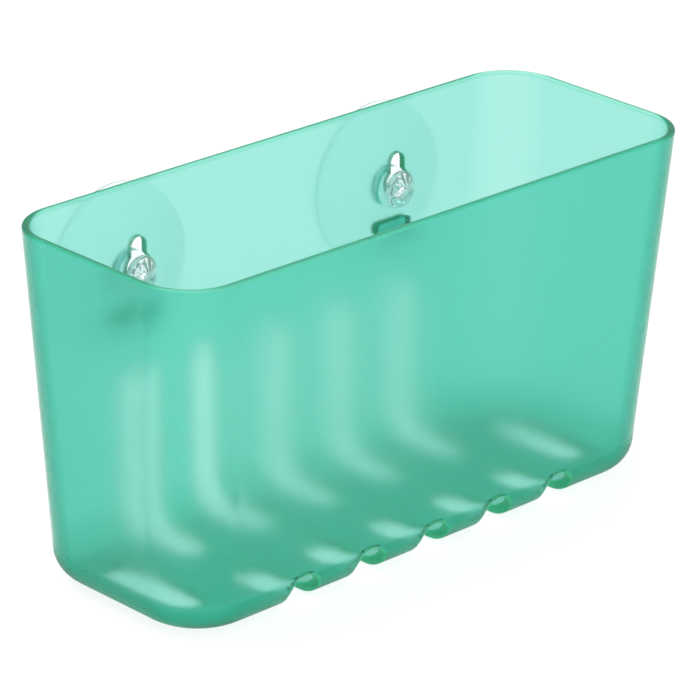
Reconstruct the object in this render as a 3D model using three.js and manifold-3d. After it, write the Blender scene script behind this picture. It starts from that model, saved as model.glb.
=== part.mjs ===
// Bathroom storage basket: a tapered tub that hangs on two suction cups.
// Millimetres, +Z up, front towards -Y, the bathroom wall towards +Y.
// The origin lies under the middle of the whole object, at the height of the underside.
import * as THREE from 'three';
import { mergeVertices } from 'three/addons/utils/BufferGeometryUtils.js';
import Module from 'manifold-3d';

const wasm = await Module();
wasm.setup();

// Tub: outside sizes at the rim, and where the walls would meet the floor without the rounded edge
const RIM_LENGTH = 225;
const RIM_DEPTH = 85;
const RIM_CORNER_RADIUS = 19;
const FOOT_LENGTH = 209;
const FOOT_DEPTH = 77;
const FOOT_CORNER_RADIUS = 22;
const FOOT_EDGE_RADIUS = 9.5;
const HOLLOW_EDGE_RADIUS = 9;
const TUB_HEIGHT = 118;
const WALL = 2.5;
const FLOOR = 2.5;

// Drain slots: some wrap over the front edge, as many over the back edge and up the back wall,
// with a solid strip of floor between them, and one more crosses the floor at each end
const SLOT_COUNT = 5;
const SLOT_PITCH = 28.5;
const SLOT_WIDTH = 12.5;
const SLOT_FRONT_TOP = 10.5;
const SLOT_BACK_TOP = 57;
const SLOT_STRIP = 18;
const END_SLOT_LENGTH = 38;

// Keyholes in the back wall: a round hole with a narrower slot above it
const CUP_SPACING = 114;
const KEYHOLE_HEIGHT = 89.3;
const KEYHOLE_DIAMETER = 10;
const KEYHOLE_SLOT_WIDTH = 6;
const KEYHOLE_SLOT_RISE = 7.2;

// Ledge on the outside of the back wall, under each keyhole
const LEDGE_WIDTH = 15;
const LEDGE_THICKNESS = 4.5;
const LEDGE_CORNER_RADIUS = 2;
const LEDGE_DROP = 13.5;

// Suction cup with its neck and mushroom head
const CLEARANCE = 0.3;
const HEAD_DIAMETER = 12.4;
const HEAD_EDGE = 1.9;
const HEAD_DOME = 2.4;
const HEAD_ROUNDING = 0.5;
const BOSS_DIAMETER = 14;
const BOSS_LENGTH = 3.6;
const CUP_DIAMETER = 55;
const CUP_LENGTH = 8.8;
const CUP_BOWL_DEPTH = 4.4;
const LIP_THICKNESS = 1.0;

// Fineness of the facets
const CORNER_STEPS = 9;
const EDGE_STEPS = 5;
const ARC_STEPS = 12;
const LATHE_STEPS = 40;
const BOWL_STEPS = 5;
const OVERCUT = 5;

// Slope of the back wall, and the neck that runs in the keyhole's slot
const WALL_SLOPE = Math.atan((RIM_DEPTH - FOOT_DEPTH) / 2 / TUB_HEIGHT);
const NECK_DIAMETER = KEYHOLE_SLOT_WIDTH - 2 * CLEARANCE;
const NECK_LENGTH = WALL + 2 * CLEARANCE;
const NECK_HEIGHT = KEYHOLE_HEIGHT - (KEYHOLE_DIAMETER - NECK_DIAMETER) / 2 + CLEARANCE;
const LEDGE_REACH = BOSS_LENGTH;

function toSolid(geometry) {
  const bare = geometry.clone();
  bare.deleteAttribute('normal');
  bare.deleteAttribute('uv');
  const merged = mergeVertices(bare, 1e-4);
  return new wasm.Manifold(new wasm.Mesh({
    numProp: 3,
    vertProperties: new Float32Array(merged.attributes.position.array),
    triVerts: new Uint32Array(merged.index.array),
  }));
}

function toGeometry(solid) {
  const mesh = solid.getMesh();
  const geometry = new THREE.BufferGeometry();
  geometry.setAttribute('position', new THREE.BufferAttribute(mesh.vertProperties, 3));
  geometry.setIndex(new THREE.BufferAttribute(mesh.triVerts, 1));
  geometry.computeVertexNormals();
  return geometry;
}

// Outline of the tub at a height, drawn in by an inset on every side
function tubRing(height, inset) {
  const share = height / TUB_HEIGHT;
  const halfLength = THREE.MathUtils.lerp(FOOT_LENGTH, RIM_LENGTH, share) / 2 - inset;
  const halfDepth = THREE.MathUtils.lerp(FOOT_DEPTH, RIM_DEPTH, share) / 2 - inset;
  const radius = THREE.MathUtils.lerp(FOOT_CORNER_RADIUS, RIM_CORNER_RADIUS, share) - inset;
  const corners = [[1, 1], [-1, 1], [-1, -1], [1, -1]];
  return corners.flatMap(([sideX, sideY], quarter) =>
    Array.from({ length: CORNER_STEPS + 1 }, (_, step) => {
      const angle = (quarter + step / CORNER_STEPS) * Math.PI / 2;
      return new THREE.Vector3(
        sideX * (halfLength - radius) + radius * Math.cos(angle),
        sideY * (halfDepth - radius) + radius * Math.sin(angle),
        height,
      );
    }));
}

// Closed skin over rings that run from the bottom up
function loft(rings) {
  const count = rings[0].length;
  const indices = [];
  for (let level = 0; level + 1 < rings.length; level += 1) {
    for (let step = 0; step < count; step += 1) {
      const here = level * count + step;
      const next = level * count + (step + 1) % count;
      indices.push(here, next, next + count, here, next + count, here + count);
    }
  }
  const top = (rings.length - 1) * count;
  for (let step = 1; step + 1 < count; step += 1) {
    indices.push(0, step + 1, step);
    indices.push(top, top + step, top + step + 1);
  }
  const geometry = new THREE.BufferGeometry().setFromPoints(rings.flat());
  geometry.setIndex(indices);
  return geometry;
}

// Bowl of the tub with a rounded foot: used for the outside and, drawn in, for the hollow
function tubBowl(inset, bottom, top, radius) {
  const rings = [];
  for (let step = 0; step <= EDGE_STEPS; step += 1) {
    const angle = step / EDGE_STEPS * Math.PI / 2;
    const height = bottom + radius * (1 - Math.cos(angle));
    rings.push(tubRing(height, inset + radius * (1 - Math.sin(angle))));
  }
  rings.push(tubRing(top, inset));
  return toSolid(loft(rings));
}

// Upright slab with a round head that runs from a distance off the middle out past the front or the back
function archSlab(width, top, start, towards) {
  const radius = width / 2;
  const outline = new THREE.Shape();
  outline.moveTo(-radius, -OVERCUT);
  outline.lineTo(radius, -OVERCUT);
  outline.lineTo(radius, top - radius);
  outline.absarc(0, top - radius, radius, 0, Math.PI, false);
  outline.closePath();
  const length = RIM_DEPTH / 2 + OVERCUT - start;
  const slab = new THREE.ExtrudeGeometry(outline, {
    depth: length,
    bevelEnabled: false,
    curveSegments: ARC_STEPS,
  });
  slab.rotateX(Math.PI / 2);
  return slab.translate(0, towards > 0 ? start + length : -start, 0);
}

// Round end of a slot in the floor
function slotEnd(x, y) {
  const radius = SLOT_WIDTH / 2;
  const end = new THREE.CylinderGeometry(radius, radius, FLOOR + 2 * OVERCUT, ARC_STEPS * 2);
  end.rotateX(Math.PI / 2);
  return toSolid(end.translate(x, y, FLOOR / 2));
}

// Slot across the floor near one end of the tub
function endSlot(x) {
  const straight = END_SLOT_LENGTH - SLOT_WIDTH;
  const middle = new THREE.BoxGeometry(SLOT_WIDTH, straight, FLOOR + 2 * OVERCUT);
  const cut = toSolid(middle.translate(x, 0, FLOOR / 2));
  return cut.add(slotEnd(x, -straight / 2)).add(slotEnd(x, straight / 2));
}

function drainSlots() {
  const start = (SLOT_STRIP + SLOT_WIDTH) / 2;
  const cuts = [];
  for (let slot = 0; slot < SLOT_COUNT; slot += 1) {
    const x = (slot - (SLOT_COUNT - 1) / 2) * SLOT_PITCH;
    const front = archSlab(SLOT_WIDTH, SLOT_FRONT_TOP, start, -1);
    const back = archSlab(SLOT_WIDTH, SLOT_BACK_TOP, start, 1);
    cuts.push(toSolid(front.translate(x, 0, 0)).add(slotEnd(x, -start)));
    cuts.push(toSolid(back.translate(x, 0, 0)).add(slotEnd(x, start)));
  }
  const end = (SLOT_COUNT + 1) / 2 * SLOT_PITCH;
  return [...cuts, endSlot(-end), endSlot(end)];
}

// Back wall's inner face at a height
function backFace(height) {
  return THREE.MathUtils.lerp(FOOT_DEPTH, RIM_DEPTH, height / TUB_HEIGHT) / 2 - WALL;
}

function keyhole(x) {
  const hole = KEYHOLE_DIAMETER / 2;
  const slot = KEYHOLE_SLOT_WIDTH / 2;
  const meet = Math.asin(slot / hole);
  const outline = new THREE.Shape();
  outline.absarc(0, 0, hole, Math.PI / 2 + meet, Math.PI * 2.5 - meet, false);
  outline.lineTo(slot, KEYHOLE_SLOT_RISE);
  outline.absarc(0, KEYHOLE_SLOT_RISE, slot, 0, Math.PI, false);
  outline.closePath();
  const depth = WALL + 2 * OVERCUT;
  const cut = new THREE.ExtrudeGeometry(outline, { depth, bevelEnabled: false, curveSegments: ARC_STEPS * 2 });
  cut.rotateX(Math.PI / 2);
  return toSolid(cut.translate(x, backFace(KEYHOLE_HEIGHT) + WALL + OVERCUT, KEYHOLE_HEIGHT));
}

// Rounded bar that stands square off the back wall, rooted in it
function ledge(x) {
  const halfWidth = LEDGE_WIDTH / 2;
  const radius = LEDGE_CORNER_RADIUS;
  const outline = new THREE.Shape();
  outline.absarc(halfWidth - radius, -radius, radius, 0, Math.PI / 2, false);
  outline.absarc(radius - halfWidth, -radius, radius, Math.PI / 2, Math.PI, false);
  outline.absarc(radius - halfWidth, radius - LEDGE_THICKNESS, radius, Math.PI, Math.PI * 1.5, false);
  outline.absarc(halfWidth - radius, radius - LEDGE_THICKNESS, radius, Math.PI * 1.5, Math.PI * 2, false);
  outline.closePath();
  const root = WALL / 2;
  const bar = new THREE.ExtrudeGeometry(outline, {
    depth: LEDGE_REACH + root,
    bevelEnabled: false,
    curveSegments: EDGE_STEPS,
  });
  bar.rotateX(Math.PI / 2);
  bar.translate(0, LEDGE_REACH + WALL, 0);
  bar.rotateX(-WALL_SLOPE);
  const height = KEYHOLE_HEIGHT - LEDGE_DROP;
  return toSolid(bar.translate(x, backFace(height), height));
}

function tubGeometry() {
  let tub = tubBowl(0, 0, TUB_HEIGHT, FOOT_EDGE_RADIUS);
  tub = tub.subtract(tubBowl(WALL, FLOOR, TUB_HEIGHT + OVERCUT, HOLLOW_EDGE_RADIUS));
  for (const cut of drainSlots()) tub = tub.subtract(cut);
  for (const side of [-1, 1]) {
    const x = side * CUP_SPACING / 2;
    tub = tub.subtract(keyhole(x)).add(ledge(x));
  }
  return toGeometry(tub);
}

// Half section of the cup as radius and distance behind the back wall's inner face
function cupProfile() {
  const headBack = -CLEARANCE;
  const headEdge = headBack - HEAD_EDGE;
  const headFront = headEdge - HEAD_DOME;
  const head = HEAD_DIAMETER / 2;
  const neck = NECK_DIAMETER / 2;
  const boss = BOSS_DIAMETER / 2;
  const rim = CUP_DIAMETER / 2;
  const bossFront = headBack + NECK_LENGTH;
  const bossBack = bossFront + BOSS_LENGTH;
  const lip = bossFront + CUP_LENGTH;
  const dome = new THREE.QuadraticBezierCurve(
    new THREE.Vector2(0, headFront),
    new THREE.Vector2(head / 2, headFront),
    new THREE.Vector2(head - HEAD_ROUNDING, headEdge),
  );
  const rounding = new THREE.QuadraticBezierCurve(
    new THREE.Vector2(head - HEAD_ROUNDING, headEdge),
    new THREE.Vector2(head, headEdge),
    new THREE.Vector2(head, headEdge + HEAD_ROUNDING),
  );
  const flare = new THREE.QuadraticBezierCurve(
    new THREE.Vector2(boss, bossBack),
    new THREE.Vector2((boss + rim) / 2, (bossBack + lip - LIP_THICKNESS) / 2 + LIP_THICKNESS / 2),
    new THREE.Vector2(rim, lip - LIP_THICKNESS),
  );
  const bowl = new THREE.QuadraticBezierCurve(
    new THREE.Vector2(rim - LIP_THICKNESS, lip),
    new THREE.Vector2((rim - LIP_THICKNESS) / 2, lip - CUP_BOWL_DEPTH),
    new THREE.Vector2(0, lip - CUP_BOWL_DEPTH),
  );
  return [
    ...dome.getPoints(BOWL_STEPS - 1),
    ...rounding.getPoints(2).slice(1),
    new THREE.Vector2(head, headBack),
    new THREE.Vector2(neck, headBack),
    new THREE.Vector2(neck, bossFront),
    new THREE.Vector2(boss, bossFront),
    ...flare.getPoints(BOWL_STEPS),
    new THREE.Vector2(rim, lip),
    ...bowl.getPoints(BOWL_STEPS),
  ];
}

function cupGeometry() {
  const round = new THREE.LatheGeometry(cupProfile(), LATHE_STEPS);
  return toGeometry(toSolid(round));
}

const tubPlastic = new THREE.MeshStandardMaterial({
  color: 0x5fcdb6,
  roughness: 0.15,
  metalness: 0,
  transparent: true,
  opacity: 0.6,
});
const clearPlastic = new THREE.MeshStandardMaterial({
  color: 0xe4efee,
  roughness: 0.1,
  metalness: 0,
  transparent: true,
  opacity: 0.45,
});

function named(name, geometry, material) {
  const mesh = new THREE.Mesh(geometry, material.clone());
  mesh.name = name;
  return mesh;
}

const assembly = new THREE.Group();
assembly.add(named('basket', tubGeometry(), tubPlastic));
for (const [name, side] of [['suction_cup_left', -1], ['suction_cup_right', 1]]) {
  const cup = named(name, cupGeometry(), clearPlastic);
  cup.position.set(side * CUP_SPACING / 2, backFace(NECK_HEIGHT), NECK_HEIGHT);
  cup.rotation.x = -WALL_SLOPE;
  assembly.add(cup);
}

// The whole object is centred over the origin
const extent = new THREE.Box3().setFromObject(assembly, true);
assembly.position.y = -(extent.min.y + extent.max.y) / 2;

const storageBasket = new THREE.Group();
storageBasket.add(assembly);

export default storageBasket;
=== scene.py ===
# %% [markdown]
# # A bathroom storage basket in Blender
# The basket is one moulded tub of see-through turquoise plastic that hangs on two clear suction cups.
# The imported CAD model gives the frame: where each piece is, and which body it moves with. This script
# loads it first, because every piece made here has to sit exactly where its CAD solid sits.
# The box of the CAD model is kept.

# %% Load the imported model as the frame
import math

import bmesh
import bpy
from mathutils import Matrix, Vector
from mathutils.geometry import interpolate_bezier


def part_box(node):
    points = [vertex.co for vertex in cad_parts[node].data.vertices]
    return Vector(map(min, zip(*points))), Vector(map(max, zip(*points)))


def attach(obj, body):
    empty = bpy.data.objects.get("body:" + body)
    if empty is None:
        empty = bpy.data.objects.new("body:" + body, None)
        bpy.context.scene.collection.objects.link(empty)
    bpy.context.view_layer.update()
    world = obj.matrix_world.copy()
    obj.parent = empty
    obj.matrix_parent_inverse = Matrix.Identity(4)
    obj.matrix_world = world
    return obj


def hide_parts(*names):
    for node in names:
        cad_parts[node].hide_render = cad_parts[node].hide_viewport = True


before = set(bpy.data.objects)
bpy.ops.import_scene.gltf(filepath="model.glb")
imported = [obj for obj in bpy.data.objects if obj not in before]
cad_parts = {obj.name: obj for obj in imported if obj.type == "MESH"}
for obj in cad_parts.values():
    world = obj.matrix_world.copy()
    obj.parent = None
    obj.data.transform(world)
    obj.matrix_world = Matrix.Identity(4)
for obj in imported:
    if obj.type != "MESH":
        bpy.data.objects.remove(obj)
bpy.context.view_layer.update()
MM = 0.001

# %% [markdown]
# ## The camera
# The photograph looks down at one end and the long front of the tub from far away with a long lens,
# so the edges of the tub stay nearly parallel. A camera is easiest to set by its three axes: one that
# points back from the scene to the lens, one to the right and one up. Turning the right and up axes
# about the first one gives the slight roll that the photograph has.
# The front of the tub lies at the low Y side of the CAD node, which gives the middle of the tub.

# %% Set the camera to the photograph's view
RIM_DEPTH = 85 * MM
VIEW_TURN = math.radians(-44.79)
VIEW_PITCH = math.radians(22.913)
VIEW_ROLL = math.radians(1.345)
VIEW_DISTANCE = 1419.2 * MM
VIEW_AIM_RIGHT = -0.94 * MM
VIEW_AIM_UP = 53.85 * MM
LENS_MM = 227.14
SENSOR_MM = 36
NEAREST_SEEN = 0.05
FARTHEST_SEEN = 50

scene = bpy.context.scene
tub_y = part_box("basket")[0].y + RIM_DEPTH / 2
back = Vector((
    math.sin(VIEW_TURN) * math.cos(VIEW_PITCH),
    -math.cos(VIEW_TURN) * math.cos(VIEW_PITCH),
    math.sin(VIEW_PITCH),
))
level_right = Vector((math.cos(VIEW_TURN), math.sin(VIEW_TURN), 0))
level_up = back.cross(level_right)
right = level_right * math.cos(VIEW_ROLL) + level_up * math.sin(VIEW_ROLL)
up = level_up * math.cos(VIEW_ROLL) - level_right * math.sin(VIEW_ROLL)
eye = Vector((0, tub_y, 0)) + back * VIEW_DISTANCE + right * VIEW_AIM_RIGHT + up * VIEW_AIM_UP

camera_data = bpy.data.cameras.new("photo_camera")
camera_data.sensor_width = SENSOR_MM
camera_data.lens = LENS_MM
camera_data.clip_start = NEAREST_SEEN
camera_data.clip_end = FARTHEST_SEEN
camera = bpy.data.objects.new("photo_camera", camera_data)
camera.matrix_world = Matrix.Translation(eye) @ Matrix((right, up, back)).transposed().to_4x4()
scene.collection.objects.link(camera)
scene.camera = camera
print("camera", [round(c, 3) for c in eye], "lens", LENS_MM)

# %% [markdown]
# ## The tub's two skins
# The real tub is injection moulded: an outer skin and an inner skin a wall's thickness apart, tapered so
# that it leaves the mould, with round corners and a round edge at the foot. Each skin is made from two
# rounded rectangles, one at the foot and one at the rim, that are bridged. A rounded rectangle is a
# plain face whose four corner vertices are bevelled. The edge at the foot is then bevelled too, which
# is quicker to adjust than a profile that is swept round.

# %% Make the outer and the inner skin
RIM_LENGTH = 225 * MM
RIM_CORNER = 19 * MM
FOOT_LENGTH = 209 * MM
FOOT_DEPTH = 77 * MM
FOOT_CORNER = 22 * MM
FOOT_EDGE = 9.5 * MM
HOLLOW_EDGE = 9 * MM
TUB_HEIGHT = 118 * MM
WALL = 2.5 * MM
CORNER_SEGMENTS = 16
EDGE_SEGMENTS = 10
TINY = 0.001 * MM


def between(foot, rim, height):
    """A size of the tub at a height, between its size at the foot and at the rim."""
    return foot + (rim - foot) * height / TUB_HEIGHT


def flat_edges(bm, height):
    """The edges that lie level at a height."""
    return [e for e in bm.edges if all(abs(v.co.z - height) < TINY for v in e.verts)]


def flat_rectangle(bm, length, depth):
    """Adds a level rectangle about the origin and gives its four corners."""
    corners = bmesh.ops.create_grid(bm, x_segments=1, y_segments=1, size=0.5)["verts"]
    bmesh.ops.scale(bm, verts=corners, vec=(length, depth, 1))
    return corners


def tub_outline(bm, height, inset):
    """Adds the tub's outline at a height, drawn in by an inset, as one flat face."""
    length = between(FOOT_LENGTH, RIM_LENGTH, height) - 2 * inset
    depth = between(FOOT_DEPTH, RIM_DEPTH, height) - 2 * inset
    corners = flat_rectangle(bm, length, depth)
    bmesh.ops.translate(bm, verts=corners, vec=(0, tub_y, height))
    bmesh.ops.bevel(
        bm, geom=corners, offset=between(FOOT_CORNER, RIM_CORNER, height) - inset,
        offset_type="OFFSET", affect="VERTICES", segments=CORNER_SEGMENTS, profile=0.5, material=-1,
    )


def tub_skin(bottom, inset, edge):
    """One skin of the tub, open at the rim, with a round edge at the foot."""
    bm = bmesh.new()
    tub_outline(bm, bottom, inset)
    tub_outline(bm, TUB_HEIGHT, inset)
    bmesh.ops.bridge_loops(bm, edges=flat_edges(bm, bottom) + flat_edges(bm, TUB_HEIGHT))
    lid = [f for f in bm.faces if f.calc_center_median().z > TUB_HEIGHT - TINY]
    bmesh.ops.delete(bm, geom=lid, context="FACES_ONLY")
    bmesh.ops.recalc_face_normals(bm, faces=bm.faces)
    bmesh.ops.bevel(
        bm, geom=flat_edges(bm, bottom), offset=edge, offset_type="OFFSET", affect="EDGES",
        segments=EDGE_SEGMENTS, profile=0.5, material=-1,
    )
    mesh = bpy.data.meshes.new("tub_skin")
    bm.to_mesh(mesh)
    bm.free()
    return mesh


outer_skin = tub_skin(0, 0, FOOT_EDGE)
inner_skin = tub_skin(WALL, WALL, HOLLOW_EDGE)
print("outer skin", len(outer_skin.polygons), "faces, inner skin", len(inner_skin.polygons), "faces")

# %% [markdown]
# ## The rim
# At the rim the two skins meet in a narrow band that is rounded over nearly its whole width, so that it
# is kind to the hand and shows as a thin green line. The two open loops are bridged, and both edges of
# the band are bevelled. A bridge follows the way the faces on its two sides turn, so the inner skin is
# turned round first to face into the hollow. Without that the band would come out twisted.
# The inner skin and the rim also get material numbers of their own, which the later cuts keep, so that
# their finish can differ from the outside.

# %% Join the skins at the rim
RIM_ROUNDING = 1.1 * MM
RIM_SEGMENTS = 6
OUTSIDE = 0
INSIDE = 1
EDGE = 2
LIP = 3


def describe(name, bm):
    """Prints the faces, the volume and the open edges of a piece."""
    volume = round(bm.calc_volume() / MM**3)
    open_edges = sum(not e.is_manifold for e in bm.edges)
    print(name, len(bm.faces), "faces,", volume, "mm3,", open_edges, "open edges")


tub_bm = bmesh.new()
tub_bm.from_mesh(inner_skin)
bmesh.ops.reverse_faces(tub_bm, faces=tub_bm.faces)
for face in tub_bm.faces:
    face.material_index = INSIDE
tub_bm.from_mesh(outer_skin)
bpy.data.meshes.remove(outer_skin)
bpy.data.meshes.remove(inner_skin)
rim_loops = [e for e in tub_bm.edges if e.is_boundary]
bmesh.ops.bridge_loops(tub_bm, edges=rim_loops)
bmesh.ops.bevel(
    tub_bm, geom=rim_loops, offset=RIM_ROUNDING, offset_type="OFFSET", affect="EDGES",
    segments=RIM_SEGMENTS, profile=0.5, material=-1,
)
for face in tub_bm.faces:
    if face.calc_center_median().z > TUB_HEIGHT - RIM_ROUNDING:
        face.material_index = LIP
describe("tub shell", tub_bm)

tub = bpy.data.objects.new("moulded_tub", bpy.data.meshes.new("moulded_tub"))
tub_bm.to_mesh(tub.data)
tub_bm.free()
for _ in (OUTSIDE, INSIDE, EDGE, LIP):
    tub.data.materials.append(None)
scene.collection.objects.link(tub)

# %% [markdown]
# ## The drain slots
# Slots in the floor let the water out. Five start as low arches at the front edge, and five more go over
# the back edge and climb the back wall to about half its height. Between the two rows a strip of the
# floor stays whole, and one short slot lies at each end. In the mould they are made by steel blades,
# so they are cut here in the same way: upright slabs with a round head are taken away from the shell
# with a Boolean. A slab is a rectangle whose two top corners are bevelled until the arcs meet. A short
# slot is the same lying down, with all four corners bevelled, and upright pins give the long slots
# their round ends.

# %% Shapes for the cutters
OVERCUT = 5 * MM
SLOT_WIDTH = 12.5 * MM
ARC_SEGMENTS = 12
ROUND_SEGMENTS = 48
STAND_UP = Matrix.Rotation(math.radians(90), 3, "X")


def push_out(bm, earlier, way):
    """Makes a block of the outline that isn't among the earlier faces, by pushing it along a way."""
    bmesh.ops.remove_doubles(bm, verts=bm.verts, dist=TINY)
    outline = [f for f in bm.faces if f not in earlier]
    pushed = bmesh.ops.extrude_face_region(bm, geom=outline)["geom"]
    moved = [v for v in pushed if isinstance(v, bmesh.types.BMVert)]
    bmesh.ops.translate(bm, verts=moved, vec=way)


def arch_slab(bm, x, width, low, high, y_from, y_to):
    """Adds an upright slab with a round head that runs along Y."""
    earlier = set(bm.faces)
    corners = flat_rectangle(bm, width, high - low)
    bmesh.ops.rotate(bm, verts=corners, cent=(0, 0, 0), matrix=STAND_UP)
    bmesh.ops.translate(bm, verts=corners, vec=(x, y_from, (low + high) / 2))
    head = [v for v in corners if v.co.z > (low + high) / 2]
    bmesh.ops.bevel(
        bm, geom=head, offset=width / 2, offset_type="OFFSET", affect="VERTICES",
        segments=ARC_SEGMENTS, profile=0.5, material=-1,
    )
    push_out(bm, earlier, (0, y_to - y_from, 0))


def floor_slot(bm, x, length):
    """Adds a short upright block with round ends that stands through the floor."""
    earlier = set(bm.faces)
    corners = flat_rectangle(bm, SLOT_WIDTH, length)
    bmesh.ops.translate(bm, verts=corners, vec=(x, tub_y, -OVERCUT))
    bmesh.ops.bevel(
        bm, geom=corners, offset=SLOT_WIDTH / 2, offset_type="OFFSET", affect="VERTICES",
        segments=ARC_SEGMENTS, profile=0.5, material=-1,
    )
    push_out(bm, earlier, (0, 0, 2 * OVERCUT))


def round_bar(bm, diameter, length, place):
    """Adds a round bar that is upright unless its place turns it."""
    bmesh.ops.create_cone(
        bm, cap_ends=True, segments=ROUND_SEGMENTS, radius1=diameter / 2, radius2=diameter / 2,
        depth=length, matrix=place,
    )


def finished_object(bm, name, number=0):
    """Turns a closed bmesh into an object in the scene, with its faces pointing outwards."""
    bmesh.ops.recalc_face_normals(bm, faces=bm.faces)
    for face in bm.faces:
        face.material_index = number
    describe(name, bm)
    obj = bpy.data.objects.new(name, bpy.data.meshes.new(name))
    bm.to_mesh(obj.data)
    bm.free()
    scene.collection.objects.link(obj)
    return obj


print("cutters reach", round(OVERCUT / MM, 1), "mm past the floor")

# %% [markdown]
# ## The blades and pins
# The front blades and the back blades have heads of different heights, and each row starts at its own
# edge of the whole strip of floor. They reach well past the wall, so that a cut never ends in a face.

# %% Make the cutters for the drain slots
SLOT_PITCH = 28.5 * MM
SLOT_PLACES = [step * SLOT_PITCH for step in (-2, -1, 0, 1, 2)]
END_SLOT_PLACES = (-3 * SLOT_PITCH, 3 * SLOT_PITCH)
END_SLOT_LENGTH = 38 * MM
SLOT_FRONT_TOP = 10.5 * MM
SLOT_BACK_TOP = 57 * MM
SLOT_STRIP = 18 * MM
BLADE_REACH = 60 * MM

slot_start = (SLOT_STRIP + SLOT_WIDTH) / 2
front_start, front_end = tub_y - slot_start, tub_y - BLADE_REACH
back_start, back_end = tub_y + slot_start, tub_y + BLADE_REACH
front_bm = bmesh.new()
back_bm = bmesh.new()
pin_bm = bmesh.new()
for slot_x in SLOT_PLACES:
    arch_slab(front_bm, slot_x, SLOT_WIDTH, -OVERCUT, SLOT_FRONT_TOP, front_start, front_end)
    arch_slab(back_bm, slot_x, SLOT_WIDTH, -OVERCUT, SLOT_BACK_TOP, back_start, back_end)
    for slot_y in (front_start, back_start):
        round_bar(pin_bm, SLOT_WIDTH, 2 * OVERCUT, Matrix.Translation((slot_x, slot_y, 0)))
for slot_x in END_SLOT_PLACES:
    floor_slot(pin_bm, slot_x, END_SLOT_LENGTH)
front_blades = finished_object(front_bm, "front_blades", EDGE)
back_blades = finished_object(back_bm, "back_blades", EDGE)
floor_pins = finished_object(pin_bm, "floor_pins", EDGE)

# %% [markdown]
# ## The keyholes and the ledges
# High in the back wall are two keyholes. A cup's soft head is pushed through the round hole, and the
# narrow slot above it takes the weight when the basket hangs. Under each keyhole a small ledge stands
# off the outside of the wall and keeps the basket level against the cup. The holes are a round bar and a
# narrow arch slab taken away, and the ledges are bars with bevelled long edges that are added.

# %% Make the cutters for the keyholes and the ledge bars
CUP_SPACING = 114 * MM
CUP_PLACES = (-CUP_SPACING / 2, CUP_SPACING / 2)
KEYHOLE_HEIGHT = 89.3 * MM
KEYHOLE_DIAMETER = 10 * MM
KEYHOLE_SLOT_WIDTH = 6 * MM
KEYHOLE_TOP = 99.5 * MM
HOLE_CUT = 12 * MM
NECK_CUT_INWARDS = 5 * MM
NECK_CUT_OUTWARDS = 8 * MM
LEDGE_WIDTH = 15 * MM
LEDGE_THICKNESS = 4.5 * MM
LEDGE_REACH = 3.6 * MM
LEDGE_ROOT = WALL / 2
LEDGE_TOP = 75.8 * MM
LEDGE_ROUNDING = 2 * MM
LEDGE_SEGMENTS = 6

wall_slope = math.atan((RIM_DEPTH - FOOT_DEPTH) / 2 / TUB_HEIGHT)
WALL_TILT = Matrix.Rotation(-wall_slope, 3, "X")


def back_face(height):
    """Where the inner face of the back wall is at a height."""
    return tub_y + between(FOOT_DEPTH, RIM_DEPTH, height) / 2 - WALL


def ledge_bar(bm, x):
    """Adds one ledge, square to the sloping wall and rooted in it, with its long edges rounded."""
    bar = bmesh.ops.create_cube(bm, size=1)["verts"]
    bmesh.ops.scale(bm, verts=bar, vec=(LEDGE_WIDTH, LEDGE_REACH + LEDGE_ROOT, LEDGE_THICKNESS))
    middle = (0, WALL + (LEDGE_REACH - LEDGE_ROOT) / 2, -LEDGE_THICKNESS / 2)
    bmesh.ops.translate(bm, verts=bar, vec=middle)
    bmesh.ops.rotate(bm, verts=bar, cent=(0, 0, 0), matrix=WALL_TILT)
    bmesh.ops.translate(bm, verts=bar, vec=(x, back_face(LEDGE_TOP), LEDGE_TOP))
    own_edges = [e for e in bm.edges if all(v in bar for v in e.verts)]
    long_edges = [e for e in own_edges if abs(e.verts[0].co.y - e.verts[1].co.y) > MM]
    bmesh.ops.bevel(
        bm, geom=long_edges, offset=LEDGE_ROUNDING, offset_type="OFFSET", affect="EDGES",
        segments=LEDGE_SEGMENTS, profile=0.5, material=-1,
    )


hole_bm = bmesh.new()
neck_bm = bmesh.new()
ledge_bm = bmesh.new()
wall_y = back_face(KEYHOLE_HEIGHT)
neck_from, neck_to = wall_y - NECK_CUT_INWARDS, wall_y + NECK_CUT_OUTWARDS
for cup_x in CUP_PLACES:
    hole_place = Matrix.Translation((cup_x, wall_y + WALL / 2, KEYHOLE_HEIGHT))
    round_bar(hole_bm, KEYHOLE_DIAMETER, HOLE_CUT, hole_place @ STAND_UP.to_4x4())
    arch_slab(neck_bm, cup_x, KEYHOLE_SLOT_WIDTH, KEYHOLE_HEIGHT, KEYHOLE_TOP, neck_from, neck_to)
    ledge_bar(ledge_bm, cup_x)
round_holes = finished_object(hole_bm, "round_holes", EDGE)
neck_slots = finished_object(neck_bm, "neck_slots", EDGE)
ledge_bars = finished_object(ledge_bm, "ledge_bars", EDGE)
# The backs of the ledges take the rim's number, which gives them half of its painted green glow.
for face in ledge_bars.data.polygons:
    if face.normal.y > 0.9:
        face.material_index = LIP

# %% [markdown]
# ## Cutting the shell
# The cutters work as Boolean modifiers, one for each kind of cut, and the result is read back as a plain
# mesh. The cutters are then removed, because they aren't pieces of the basket.

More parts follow.
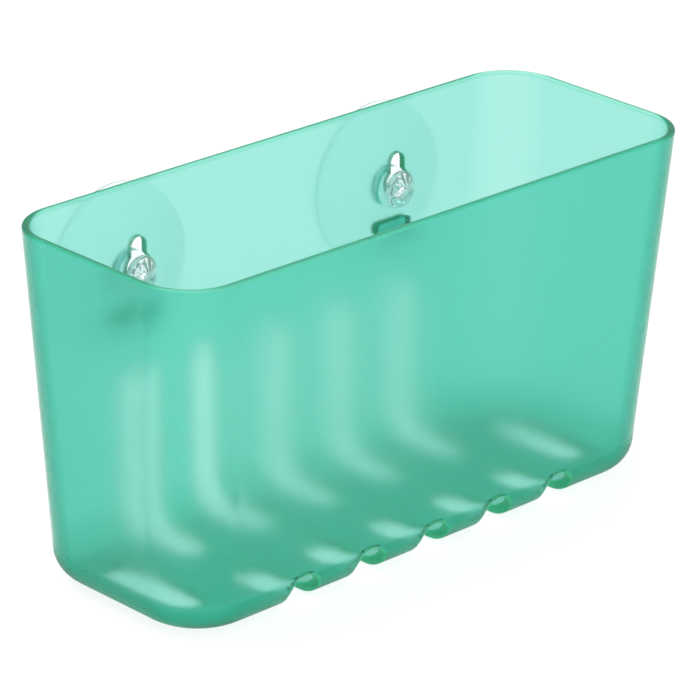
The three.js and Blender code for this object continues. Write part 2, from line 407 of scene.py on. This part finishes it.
# %% Cut the slots and keyholes and add the ledges
tools = (front_blades, back_blades, floor_pins, round_holes, neck_slots, ledge_bars)
for tool in tools:
    cut = tub.modifiers.new(tool.name, "BOOLEAN")
    cut.object = tool
    cut.operation = "UNION" if tool is ledge_bars else "DIFFERENCE"
    cut.solver = "MANIFOLD"
depsgraph = bpy.context.evaluated_depsgraph_get()
cut_mesh = bpy.data.meshes.new_from_object(tub.evaluated_get(depsgraph))
tub.modifiers.clear()
shell_mesh = tub.data
tub.data = cut_mesh
bpy.data.meshes.remove(shell_mesh)
for tool in tools:
    tool_mesh = tool.data
    bpy.data.objects.remove(tool)
    bpy.data.meshes.remove(tool_mesh)
cut_mesh.name = "moulded_tub"
cut_faces = sum(f.material_index in (EDGE, LIP) for f in cut_mesh.polygons)
print("cut tub", len(cut_mesh.polygons), "faces,", cut_faces, "of them on the rim and in the cuts")

# %% [markdown]
# ## Rounding the cut edges
# A moulded edge is never knife sharp, and on see-through plastic the small radius shows as a line of its
# own. Every edge that the cuts left sharp is bevelled: the drain slots have the larger radius, the
# keyholes and ledges the smaller one. The sharp edges are found by the angle between faces.

# %% Round the edges of the slots, the keyholes and the ledges
SLOT_ROUNDING = 0.8 * MM
SLOT_ROUNDING_SEGMENTS = 3
KEYHOLE_ROUNDING = 0.4 * MM
KEYHOLE_ROUNDING_SEGMENTS = 2
SHARP_ANGLE = math.radians(40)
NEAR = 0.01 * MM
ABOVE_SLOTS = SLOT_BACK_TOP + MM

tub_bm = bmesh.new()
tub_bm.from_mesh(tub.data)
bmesh.ops.remove_doubles(tub_bm, verts=tub_bm.verts, dist=NEAR)
bmesh.ops.dissolve_degenerate(tub_bm, edges=tub_bm.edges, dist=NEAR)
sharp = [e for e in tub_bm.edges if e.is_manifold and e.calc_face_angle() > SHARP_ANGLE]
slot_edges = [e for e in sharp if max(v.co.z for v in e.verts) < ABOVE_SLOTS]
small_edges = [e for e in sharp if min(v.co.z for v in e.verts) > ABOVE_SLOTS]
print(len(slot_edges), "slot edges and", len(small_edges), "keyhole and ledge edges to round")
slot_bevel = bmesh.ops.bevel(
    tub_bm, geom=slot_edges, offset=SLOT_ROUNDING, offset_type="OFFSET", affect="EDGES",
    segments=SLOT_ROUNDING_SEGMENTS, profile=0.5, material=-1, clamp_overlap=False,
)
small_edges = [e for e in small_edges if e.is_valid]
small_bevel = bmesh.ops.bevel(
    tub_bm, geom=small_edges, offset=KEYHOLE_ROUNDING, offset_type="OFFSET", affect="EDGES",
    segments=KEYHOLE_ROUNDING_SEGMENTS, profile=0.5, material=-1, clamp_overlap=False,
)
for face in slot_bevel["faces"] + small_bevel["faces"]:
    if face.is_valid:
        face.material_index = EDGE

# %% [markdown]
# ## Marking the finishes and the painted glow
# The tub has one material, so the finish of each face is stored as an attribute that the material reads.
# The inside is etched. The cut edges are duller and get a painted green glow in full, and the rim and the
# backs of the ledges about half as much. Weighted normals then keep the broad walls evenly shaded right up
# to the small roundings.

# %% Store the finishes and the painted glow, and shade the tub
# The cut edges, the rim and the ledge backs are duller and carry a painted green glow, in these shares.
EDGE_FINISH_AND_PAINTED_GLOW = {EDGE: 1.0, LIP: 0.45}
NORMAL_WEIGHT = 50


def shade_evenly(piece, keep_sharp):
    """Lets the larger faces of a piece lead its shading."""
    shading = piece.modifiers.new("even_shading", "WEIGHTED_NORMAL")
    shading.weight = NORMAL_WEIGHT
    shading.keep_sharp = keep_sharp


etched = tub_bm.faces.layers.float.new("etched")
dull_edge_and_painted_glow = tub_bm.faces.layers.float.new("dull_edge_and_painted_glow")
for face in tub_bm.faces:
    face.smooth = True
    face[etched] = 1.0 if face.material_index == INSIDE else 0.0
    face[dull_edge_and_painted_glow] = EDGE_FINISH_AND_PAINTED_GLOW.get(face.material_index, 0.0)
    face.material_index = 0
print("etched faces", sum(face[etched] > 0 for face in tub_bm.faces))
print("rim and cut faces", sum(face[dull_edge_and_painted_glow] > 0 for face in tub_bm.faces))
describe("tub", tub_bm)
tub.data.materials.clear()
tub_bm.to_mesh(tub.data)
tub_bm.free()
shade_evenly(tub, keep_sharp=False)

# %% [markdown]
# ## The section of a suction cup
# Each cup is one casting of clear soft vinyl: a mushroom head inside the tub, a neck through the keyhole,
# a stout boss behind the wall and a thin flared cup whose lip would sit on the tiles. Being round, it is
# drawn as half of its section and spun about its axis. The curved runs come from Bezier curves.

# %% Draw the half section of a cup
HEAD_RADIUS = 6.2 * MM
HEAD_FRONT = -4.6 * MM
HEAD_EDGE = -2.2 * MM
HEAD_BACK = -0.3 * MM
HEAD_ROUNDING = 0.5 * MM
TIP_RADIUS = 1 * MM
NECK_RADIUS = 2.7 * MM
BOSS_RADIUS = 7 * MM
BOSS_FRONT = 2.8 * MM
BOSS_BACK = 6.4 * MM
CUP_RADIUS = 27.5 * MM
LIP_FRONT = 10.6 * MM
LIP_BACK = 11.6 * MM
LIP_WIDTH = 1 * MM
BOWL_BOTTOM = 7.2 * MM
CROWN_POINTS = 6
FLARE_POINTS = 12


def curve_points(start, pull, end, count):
    """Radius and depth of points on a curve that leaves start and reaches end, both heading for pull."""
    a, c, b = (Vector((radius, depth, 0)) for radius, depth in (start, pull, end))
    return [(p.x, p.y) for p in interpolate_bezier(a, a.lerp(c, 2 / 3), b.lerp(c, 2 / 3), b, count)]


def cup_section():
    """The half section of a cup from the middle of the head round to the middle of the bowl."""
    half_way = ((BOSS_RADIUS + CUP_RADIUS) / 2, (BOSS_BACK + LIP_FRONT) / 2 + LIP_WIDTH / 2)
    bowl_rim = CUP_RADIUS - LIP_WIDTH
    crown = HEAD_RADIUS - HEAD_ROUNDING
    crown_pull = (crown * 0.6, HEAD_FRONT * 0.7 + HEAD_EDGE * 0.3)
    points = [(0, HEAD_FRONT)]
    points += curve_points((TIP_RADIUS, HEAD_FRONT), crown_pull, (crown, HEAD_EDGE), CROWN_POINTS)
    points += [(HEAD_RADIUS, HEAD_EDGE + HEAD_ROUNDING), (HEAD_RADIUS, HEAD_BACK)]
    points += [(NECK_RADIUS, HEAD_BACK), (NECK_RADIUS, BOSS_FRONT), (BOSS_RADIUS, BOSS_FRONT)]
    points += curve_points((BOSS_RADIUS, BOSS_BACK), half_way, (CUP_RADIUS, LIP_FRONT), FLARE_POINTS)
    points += [(CUP_RADIUS, LIP_BACK)]
    bowl_pull = (bowl_rim / 2, BOWL_BOTTOM)
    points += curve_points((bowl_rim, LIP_BACK), bowl_pull, (0, BOWL_BOTTOM), FLARE_POINTS)
    return points


print("half section of", len(cup_section()), "points")

# %% [markdown]
# ## Spinning the cups
# The corners of the neck and the boss are bevelled after the spin. The crown of the head is cut into
# facets like a glass stopper, which makes it sparkle: the points of the spun crown are pressed in
# between its ridges, and its faces are left flat. The faces of the head are marked as frosted.

# %% Spin the section and cut the facets of the head
NECK_HEIGHT = 87.3 * MM
SPIN_STEPS = 96
CUP_ROUNDING = 0.28 * MM
CUP_ROUNDING_SEGMENTS = 3
RIDGE_ANGLE = math.radians(35)
FACET_COUNT = 12
FACET_DEPTH = 0.5 * MM
FROST_END = HEAD_BACK - 0.1 * MM


def cut_facets(bm):
    """Presses the crown of the head into flat facets that meet in ridges from the tip to the edge."""
    for vert in bm.verts:
        radius = math.hypot(vert.co.x, vert.co.z)
        if vert.co.y < HEAD_EDGE - NEAR and radius > TIP_RADIUS * 0.5:
            turn = math.atan2(vert.co.z, vert.co.x) / math.tau * FACET_COUNT
            valley = 1 - abs(2 * (turn % 1) - 1)
            vert.co.y += FACET_DEPTH * valley * math.sin(math.pi * radius / HEAD_RADIUS)


def spun_cup(cup_x, name):
    """One suction cup, spun about the Y axis and then set square to the sloping back wall."""
    bm = bmesh.new()
    section = [bm.verts.new((radius, depth, 0)) for radius, depth in cup_section()]
    for first, second in zip(section, section[1:]):
        bm.edges.new((first, second))
    bmesh.ops.spin(
        bm, geom=bm.verts[:] + bm.edges[:], cent=(0, 0, 0), axis=(0, 1, 0), angle=math.tau,
        steps=SPIN_STEPS, use_merge=True,
    )
    bmesh.ops.remove_doubles(bm, verts=bm.verts, dist=TINY)
    bmesh.ops.recalc_face_normals(bm, faces=bm.faces)
    ridges = [e for e in bm.edges if e.is_manifold and e.calc_face_angle() > RIDGE_ANGLE]
    bmesh.ops.bevel(
        bm, geom=ridges, offset=CUP_ROUNDING, offset_type="OFFSET", affect="EDGES",
        segments=CUP_ROUNDING_SEGMENTS, profile=0.5, material=-1,
    )
    cut_facets(bm)
    frosted = bm.faces.layers.float.new("frosted")
    for face in bm.faces:
        depth = face.calc_center_median().y
        face[frosted] = 1.0 if depth < FROST_END else 0.0
        face.smooth = depth > HEAD_EDGE
    bmesh.ops.rotate(bm, verts=bm.verts, cent=(0, 0, 0), matrix=WALL_TILT)
    bmesh.ops.translate(bm, verts=bm.verts, vec=(cup_x, back_face(NECK_HEIGHT), NECK_HEIGHT))
    cup = finished_object(bm, name)
    shade_evenly(cup, keep_sharp=True)
    return cup


left_cup = spun_cup(CUP_PLACES[0], "clear_cup_left")
right_cup = spun_cup(CUP_PLACES[1], "clear_cup_right")

# %% [markdown]
# ## Which body each piece rides on
# The tub is the basket body, and each cup is a body of its own that slides in its keyhole. Every piece
# made here stands for one CAD node, which stays in the simulation but isn't shown.

# %% Put the pieces on their bodies
for piece, body, node, slot in (
    (tub, "basket", "basket", "tinted_plastic"),
    (left_cup, "left_cup", "suction_cup_left", "clear_plastic"),
    (right_cup, "right_cup", "suction_cup_right", "clear_plastic"),
):
    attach(piece, body)
    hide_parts(node)
    print(piece.name, "rides on", body, "and stands for", node)

# %% [markdown]
# ## Tools for the materials
# A material here is a small graph of nodes. One function turns the hex colour that a colour picker shows
# into the linear numbers that the shader needs, and one function adds a node with its settings and links.

# %% Two helpers for node materials
TINT_COLOUR = "#2AE5D7"


def linear(hex_colour):
    """Linear RGBA of an sRGB hex colour."""
    parts = [int(hex_colour[i:i + 2], 16) / 255 for i in (1, 3, 5)]
    return tuple(p / 12.92 if p <= 0.04045 else ((p + 0.055) / 1.055) ** 2.4 for p in parts) + (1.0,)


def add_node(tree, kind, settings=None, **inputs):
    """Adds a node with its settings. Its inputs are numbers, colours or sockets to link."""
    node = tree.nodes.new(kind)
    for name, value in (settings or {}).items():
        setattr(node, name, value)
    for name, value in inputs.items():
        socket = node.inputs[name.replace("_", " ")]
        if isinstance(value, bpy.types.NodeSocket):
            tree.links.new(value, socket)
        else:
            socket.default_value = value
    return node


def new_material(name):
    """An empty node material with its output node."""
    material = bpy.data.materials.new(name)
    material.use_nodes = True
    material.node_tree.nodes.clear()
    return material, material.node_tree, add_node(material.node_tree, "ShaderNodeOutputMaterial")


print("the tint in linear numbers", [round(c, 3) for c in linear(TINT_COLOUR)])

# %% [markdown]
# ## The finish of the tub
# The tub is injection moulded in tinted clarified polypropylene. The mould is polished on the outside and
# finely etched on the inside, and the etched skin blurs what lies behind a wall, so the slots at the back
# show as soft streaks. The rounding at the foot and the cut edges are duller still. The attributes and
# the height over the floor choose between these finishes, and a noise makes each a little uneven.

# %% Roughness of the tub's skins
# The grain of the etching is too fine to show, so its unevenness is drawn several millimetres wide
ETCH_MM = 6.0
NOISE_LOW = 0.3
NOISE_HIGH = 0.7
POLISHED_FROM = 0.085
POLISHED_TO = 0.115
ETCHED_FROM = 0.29
ETCHED_TO = 0.35
FOOT_ROUGHNESS = 0.42
EDGE_ROUGHNESS = 0.55
FOOT_BEGINS = 16 * MM
FOOT_FULL = 3 * MM

tub_plastic, tree, output = new_material("tinted_moulded_polypropylene")
place = add_node(tree, "ShaderNodeTexCoord")
inside = add_node(tree, "ShaderNodeAttribute", {"attribute_name": "etched"})
# This mark makes the cut edges duller and paints their green glow.
edge = add_node(tree, "ShaderNodeAttribute", {"attribute_name": "dull_edge_and_painted_glow"})
height = add_node(tree, "ShaderNodeSeparateXYZ", Vector=place.outputs["Object"])
foot = add_node(
    tree, "ShaderNodeMapRange", {"interpolation_type": "SMOOTHSTEP"}, Value=height.outputs["Z"],
    From_Min=FOOT_BEGINS, From_Max=FOOT_FULL, To_Min=0.0, To_Max=1.0,
)
etched_share = add_node(
    tree, "ShaderNodeMix", Factor=inside.outputs["Fac"], A=foot.outputs["Result"], B=1.0,
)
etch = add_node(
    tree, "ShaderNodeTexNoise", Vector=place.outputs["Object"], Scale=1 / (ETCH_MM * MM),
    Detail=3.0, Roughness=0.6,
)
polish_range = add_node(
    tree, "ShaderNodeMapRange", Value=etch.outputs["Fac"], From_Min=NOISE_LOW, From_Max=NOISE_HIGH,
    To_Min=POLISHED_FROM, To_Max=POLISHED_TO,
)
etch_range = add_node(
    tree, "ShaderNodeMapRange", Value=etch.outputs["Fac"], From_Min=NOISE_LOW, From_Max=NOISE_HIGH,
    To_Min=ETCHED_FROM, To_Max=ETCHED_TO,
)
skin_roughness = add_node(
    tree, "ShaderNodeMix", Factor=etched_share.outputs["Result"], A=polish_range.outputs["Result"],
    B=etch_range.outputs["Result"],
)
foot_roughness = add_node(
    tree, "ShaderNodeMix", Factor=foot.outputs["Result"], A=skin_roughness.outputs["Result"],
    B=FOOT_ROUGHNESS,
)
roughness = add_node(
    tree, "ShaderNodeMix", Factor=edge.outputs["Fac"], A=foot_roughness.outputs["Result"],
    B=EDGE_ROUGHNESS,
)
print("inside roughness", ETCHED_FROM, "to", ETCHED_TO, "outside", POLISHED_FROM, "to", POLISHED_TO)

# %% [markdown]
# ## The clear skin, the haze and the painted glow
# The crystals in this plastic scatter a little light, which a small diffuse share gives on every wall. The
# glow of light that runs along inside a wall and comes out where the wall ends is painted: the rim, the
# edges of the slots and the backs of the ledges get a green diffuse colour, so they let less light
# straight through and glow green. The foot gets more of that green as painted light, which lifts the
# shaded bottom.
# Polypropylene bends light with an index of about 1.49. The photograph shows hardly any white glare on the
# walls, so the index is lowered here and the reflection takes on the tint.

# %% Mix the clear skin with the haze and the painted glow
# Moulded walls are slightly wavy, over a few centimetres
RIPPLE_MM = 22.0
RIPPLE_DEPTH = 0.12 * MM
RIPPLE_STRENGTH = 0.25
TUB_INDEX = 1.3
BLOOM_ROUGHNESS = 0.5
BLOOM_OUTSIDE = 0.05
BLOOM_INSIDE = 0.04
# At the foot the share is partly haze and partly painted light that lifts the shaded bottom.
FOOT_HAZE_AND_PAINTED_LIGHT = 0.14
# At the cut edges half the surface is diffuse green: partly scatter, partly painted glow of light leaving
# the wall.
EDGE_SCATTER_AND_PAINTED_GLOW = 0.5
# A Mix node has a socket called A for each kind of value, and its colours are known by number only
COLOUR_A = 6
COLOUR_B = 7
COLOUR_RESULT = 2

ripple = add_node(
    tree, "ShaderNodeTexNoise", Vector=place.outputs["Object"], Scale=1 / (RIPPLE_MM * MM), Detail=1.0,
)
ripple_bump = add_node(
    tree, "ShaderNodeBump", Height=ripple.outputs["Fac"], Strength=RIPPLE_STRENGTH, Distance=RIPPLE_DEPTH,
)
clear_skin = add_node(
    tree, "ShaderNodeBsdfPrincipled", Base_Color=linear("#FBFFFE"), IOR=TUB_INDEX,
    Roughness=roughness.outputs["Result"], Specular_Tint=linear("#3FB8A8"), Transmission_Weight=1.0,
    Normal=ripple_bump.outputs["Normal"],
)
# The outside colour is the wall's haze and also the colour of the painted light at the foot.
wall_haze_and_painted_light_colour = add_node(tree, "ShaderNodeMix", {"data_type": "RGBA"}, Factor=inside.outputs["Fac"])
wall_haze_and_painted_light_colour.inputs[COLOUR_A].default_value = linear("#2CC89A")
wall_haze_and_painted_light_colour.inputs[COLOUR_B].default_value = linear("#7FE3C0")
# At the cut edges, the rim and the ledge backs the colour turns to the green of the painted glow.
haze_and_painted_light_colour = add_node(tree, "ShaderNodeMix", {"data_type": "RGBA"}, Factor=edge.outputs["Fac"])
tree.links.new(wall_haze_and_painted_light_colour.outputs[COLOUR_RESULT], haze_and_painted_light_colour.inputs[COLOUR_A])
haze_and_painted_light_colour.inputs[COLOUR_B].default_value = linear("#2FC78A")
haze_and_painted_light = add_node(
    tree, "ShaderNodeBsdfPrincipled", Base_Color=haze_and_painted_light_colour.outputs[COLOUR_RESULT],
    Roughness=BLOOM_ROUGHNESS, Normal=ripple_bump.outputs["Normal"],
)
wall_bloom = add_node(
    tree, "ShaderNodeMix", Factor=inside.outputs["Fac"], A=BLOOM_OUTSIDE, B=BLOOM_INSIDE,
)
# A larger diffuse share at the foot paints light onto the shaded bottom, on top of the wall's haze.
haze_and_painted_foot_light = add_node(
    tree, "ShaderNodeMix", Factor=foot.outputs["Result"], A=wall_bloom.outputs["Result"], B=FOOT_HAZE_AND_PAINTED_LIGHT,
)
# The marked edges take the painted glow's share on top of the haze and the painted foot light.
haze_and_painted_light_share = add_node(
    tree, "ShaderNodeMix", Factor=edge.outputs["Fac"], A=haze_and_painted_foot_light.outputs["Result"], B=EDGE_SCATTER_AND_PAINTED_GLOW,
)
skin = add_node(tree, "ShaderNodeMixShader", Fac=haze_and_painted_light_share.outputs["Result"])
tree.links.new(clear_skin.outputs["BSDF"], skin.inputs[1])
tree.links.new(haze_and_painted_light.outputs["BSDF"], skin.inputs[2])
tree.links.new(skin.outputs["Shader"], output.inputs["Surface"])
print("bloom outside", BLOOM_OUTSIDE, "inside", BLOOM_INSIDE, "foot", FOOT_HAZE_AND_PAINTED_LIGHT, "edges", EDGE_SCATTER_AND_PAINTED_GLOW)

# %% [markdown]
# ## The tint of the tub
# The dye is in the whole thickness of the plastic, so one wall is pale aqua, two walls are sea green and
# an edge seen along its length is deep green. Volume absorption gives all three from one colour and one
# density: it takes away red quickly and green slowly, for every millimetre that the light travels.

# %% Tint the tub through its thickness
TINT_DENSITY = 340.0

tint = add_node(tree, "ShaderNodeVolumeAbsorption", Color=linear(TINT_COLOUR), Density=TINT_DENSITY)
tree.links.new(tint.outputs["Volume"], output.inputs["Volume"])
tub.data.materials.append(tub_plastic)
wall_tint = [round(math.exp(-TINT_DENSITY * (1 - c) * WALL), 2) for c in linear(TINT_COLOUR)[:3]]
print(tub_plastic.name, len(tree.nodes), "nodes, one wall passes red, green, blue", wall_tint)

# %% [markdown]
# ## Clear soft vinyl
# The cups are plasticised vinyl, cast in polished moulds. It is as clear as water in thin places and a
# little grey and blue where it is thick. The surface is smooth, with the slight waviness that a soft
# casting has, which breaks up the highlights. The faceted head is rubbed by fingers and by the tub's
# wall, so it is a little frosted and lets less light through.

# %% Make the material of the cups
WAVE_MM = 3.0
WAVE_DEPTH = 0.1 * MM
WAVE_STRENGTH = 0.3
SHEEN_FROM = 0.03
SHEEN_TO = 0.07
VINYL_INDEX = 1.4
VINYL_DENSITY = 45.0
CLEAR_CUP = 1.0
CLEAR_HEAD = 0.8

cup_vinyl, tree, output = new_material("clear_soft_vinyl")
place = add_node(tree, "ShaderNodeTexCoord")
wave = add_node(
    tree, "ShaderNodeTexNoise", Vector=place.outputs["Object"], Scale=1 / (WAVE_MM * MM), Detail=1.0,
)
wave_bump = add_node(
    tree, "ShaderNodeBump", Height=wave.outputs["Fac"], Strength=WAVE_STRENGTH, Distance=WAVE_DEPTH,
)
sheen = add_node(
    tree, "ShaderNodeMapRange", Value=wave.outputs["Fac"], From_Min=NOISE_LOW, From_Max=NOISE_HIGH,
    To_Min=SHEEN_FROM, To_Max=SHEEN_TO,
)
frost = add_node(tree, "ShaderNodeAttribute", {"attribute_name": "frosted"})
clearness = add_node(tree, "ShaderNodeMix", Factor=frost.outputs["Fac"], A=CLEAR_CUP, B=CLEAR_HEAD)
skin = add_node(
    tree, "ShaderNodeBsdfPrincipled", Base_Color=linear("#FBFEFF"), Roughness=sheen.outputs["Result"],
    IOR=VINYL_INDEX, Transmission_Weight=clearness.outputs["Result"], Normal=wave_bump.outputs["Normal"],
)
tint = add_node(tree, "ShaderNodeVolumeAbsorption", Color=linear("#B9D8DC"), Density=VINYL_DENSITY)
tree.links.new(skin.outputs["BSDF"], output.inputs["Surface"])
tree.links.new(tint.outputs["Volume"], output.inputs["Volume"])
for cup in (left_cup, right_cup):
    cup.data.materials.append(cup_vinyl)
print(cup_vinyl.name, len(tree.nodes), "nodes")

# %% [markdown]
# ## The lit table
# The photograph shows the basket on pure white. A see-through piece is mostly a picture of what is behind
# and around it, so an even white ground shows the tint of the plastic best. The floor is a table that is
# lit from below, as a photographer has for glass: its own light makes it white and keeps the shadow under
# the basket faint.

# %% Make the lit table
FLOOR_GAP = 0.3 * MM
FLOOR_RADIUS = 4.0
FLOOR_SIDES = 64
# A faint cloudiness of the sheet, a few centimetres across
CLOUD_MM = 40.0
FLOOR_ROUGHNESS = 0.9
FLOOR_GLOW = 0.82

floor_bm = bmesh.new()
bmesh.ops.create_circle(floor_bm, cap_ends=True, segments=FLOOR_SIDES, radius=FLOOR_RADIUS)
bmesh.ops.translate(floor_bm, verts=floor_bm.verts, vec=(0, 0, -FLOOR_GAP))
floor = finished_object(floor_bm, "studio_floor")
floor_paint, tree, output = new_material("white_studio_floor")
place = add_node(tree, "ShaderNodeTexCoord")
cloud = add_node(
    tree, "ShaderNodeTexNoise", Vector=place.outputs["Object"], Scale=1 / (CLOUD_MM * MM), Detail=2.0,
)
shade = add_node(tree, "ShaderNodeMix", {"data_type": "RGBA"}, Factor=cloud.outputs["Fac"])
shade.inputs[COLOUR_A].default_value = linear("#7E7E7E")
shade.inputs[COLOUR_B].default_value = linear("#7B7C7C")
paint = add_node(
    tree, "ShaderNodeBsdfPrincipled", Base_Color=shade.outputs[COLOUR_RESULT], Roughness=FLOOR_ROUGHNESS,
    Emission_Color=linear("#FFFFFF"), Emission_Strength=FLOOR_GLOW,
)
tree.links.new(paint.outputs["BSDF"], output.inputs["Surface"])
floor.data.materials.append(floor_paint)

# %% [markdown]
# ## The surround and the lamp
# White light comes from all round. The surround is brighter on the front side, which lights the inside of
# the back wall, and one broad lamp behind adds a direction.

# %% Make the surround and the lamp
FRONT_BRIGHTNESS = 1.4
BACK_BRIGHTNESS = 0.6
LAMP_PLACE = Vector((-0.3, 0.6, 1.2))
LAMP_AIM = Vector((0.0, 0.0, 0.05))
LAMP_SIZE = 0.9
LAMP_POWER = 10.0

world = bpy.data.worlds.new("white_surround")
world.use_nodes = True
tree = world.node_tree
tree.nodes.clear()
way = add_node(tree, "ShaderNodeTexCoord")
side = add_node(tree, "ShaderNodeSeparateXYZ", Vector=way.outputs["Generated"])
brightness = add_node(
    tree, "ShaderNodeMapRange", Value=side.outputs["Y"], From_Min=-1.0, From_Max=1.0,
    To_Min=FRONT_BRIGHTNESS, To_Max=BACK_BRIGHTNESS,
)
sky = add_node(
    tree, "ShaderNodeBackground", Color=linear("#FFFFFF"), Strength=brightness.outputs["Result"],
)
add_node(tree, "ShaderNodeOutputWorld", Surface=sky.outputs["Background"])
scene.world = world

lamp_data = bpy.data.lights.new("lamp_behind", "AREA")
lamp_data.shape = "SQUARE"
lamp_data.size = LAMP_SIZE
lamp_data.energy = LAMP_POWER
lamp = bpy.data.objects.new("lamp_behind", lamp_data)
lamp.location = LAMP_PLACE
lamp.rotation_euler = (LAMP_AIM - LAMP_PLACE).to_track_quat("-Z", "Y").to_euler()
scene.collection.objects.link(lamp)
print("surround from", BACK_BRIGHTNESS, "to", FRONT_BRIGHTNESS, "and one lamp of", LAMP_POWER, "W")

# %% [markdown]
# ## Colours and bounces
# The standard view keeps white white and shows the tint as it was matched. Light has to pass up to eight
# faces of plastic to reach the far side, so the number of bounces is raised, and sharp caustics are
# softened, because they would only show as noise.

# %% Set the colour view and the light bounces
scene.view_settings.view_transform = "Standard"
scene.view_settings.look = "None"
scene.cycles.max_bounces = 24
scene.cycles.transmission_bounces = 24
scene.cycles.glossy_bounces = 8
scene.cycles.diffuse_bounces = 6
scene.cycles.blur_glossy = 0.5
scene.cycles.use_denoising = True
print("view", scene.view_settings.view_transform, "bounces", scene.cycles.max_bounces)
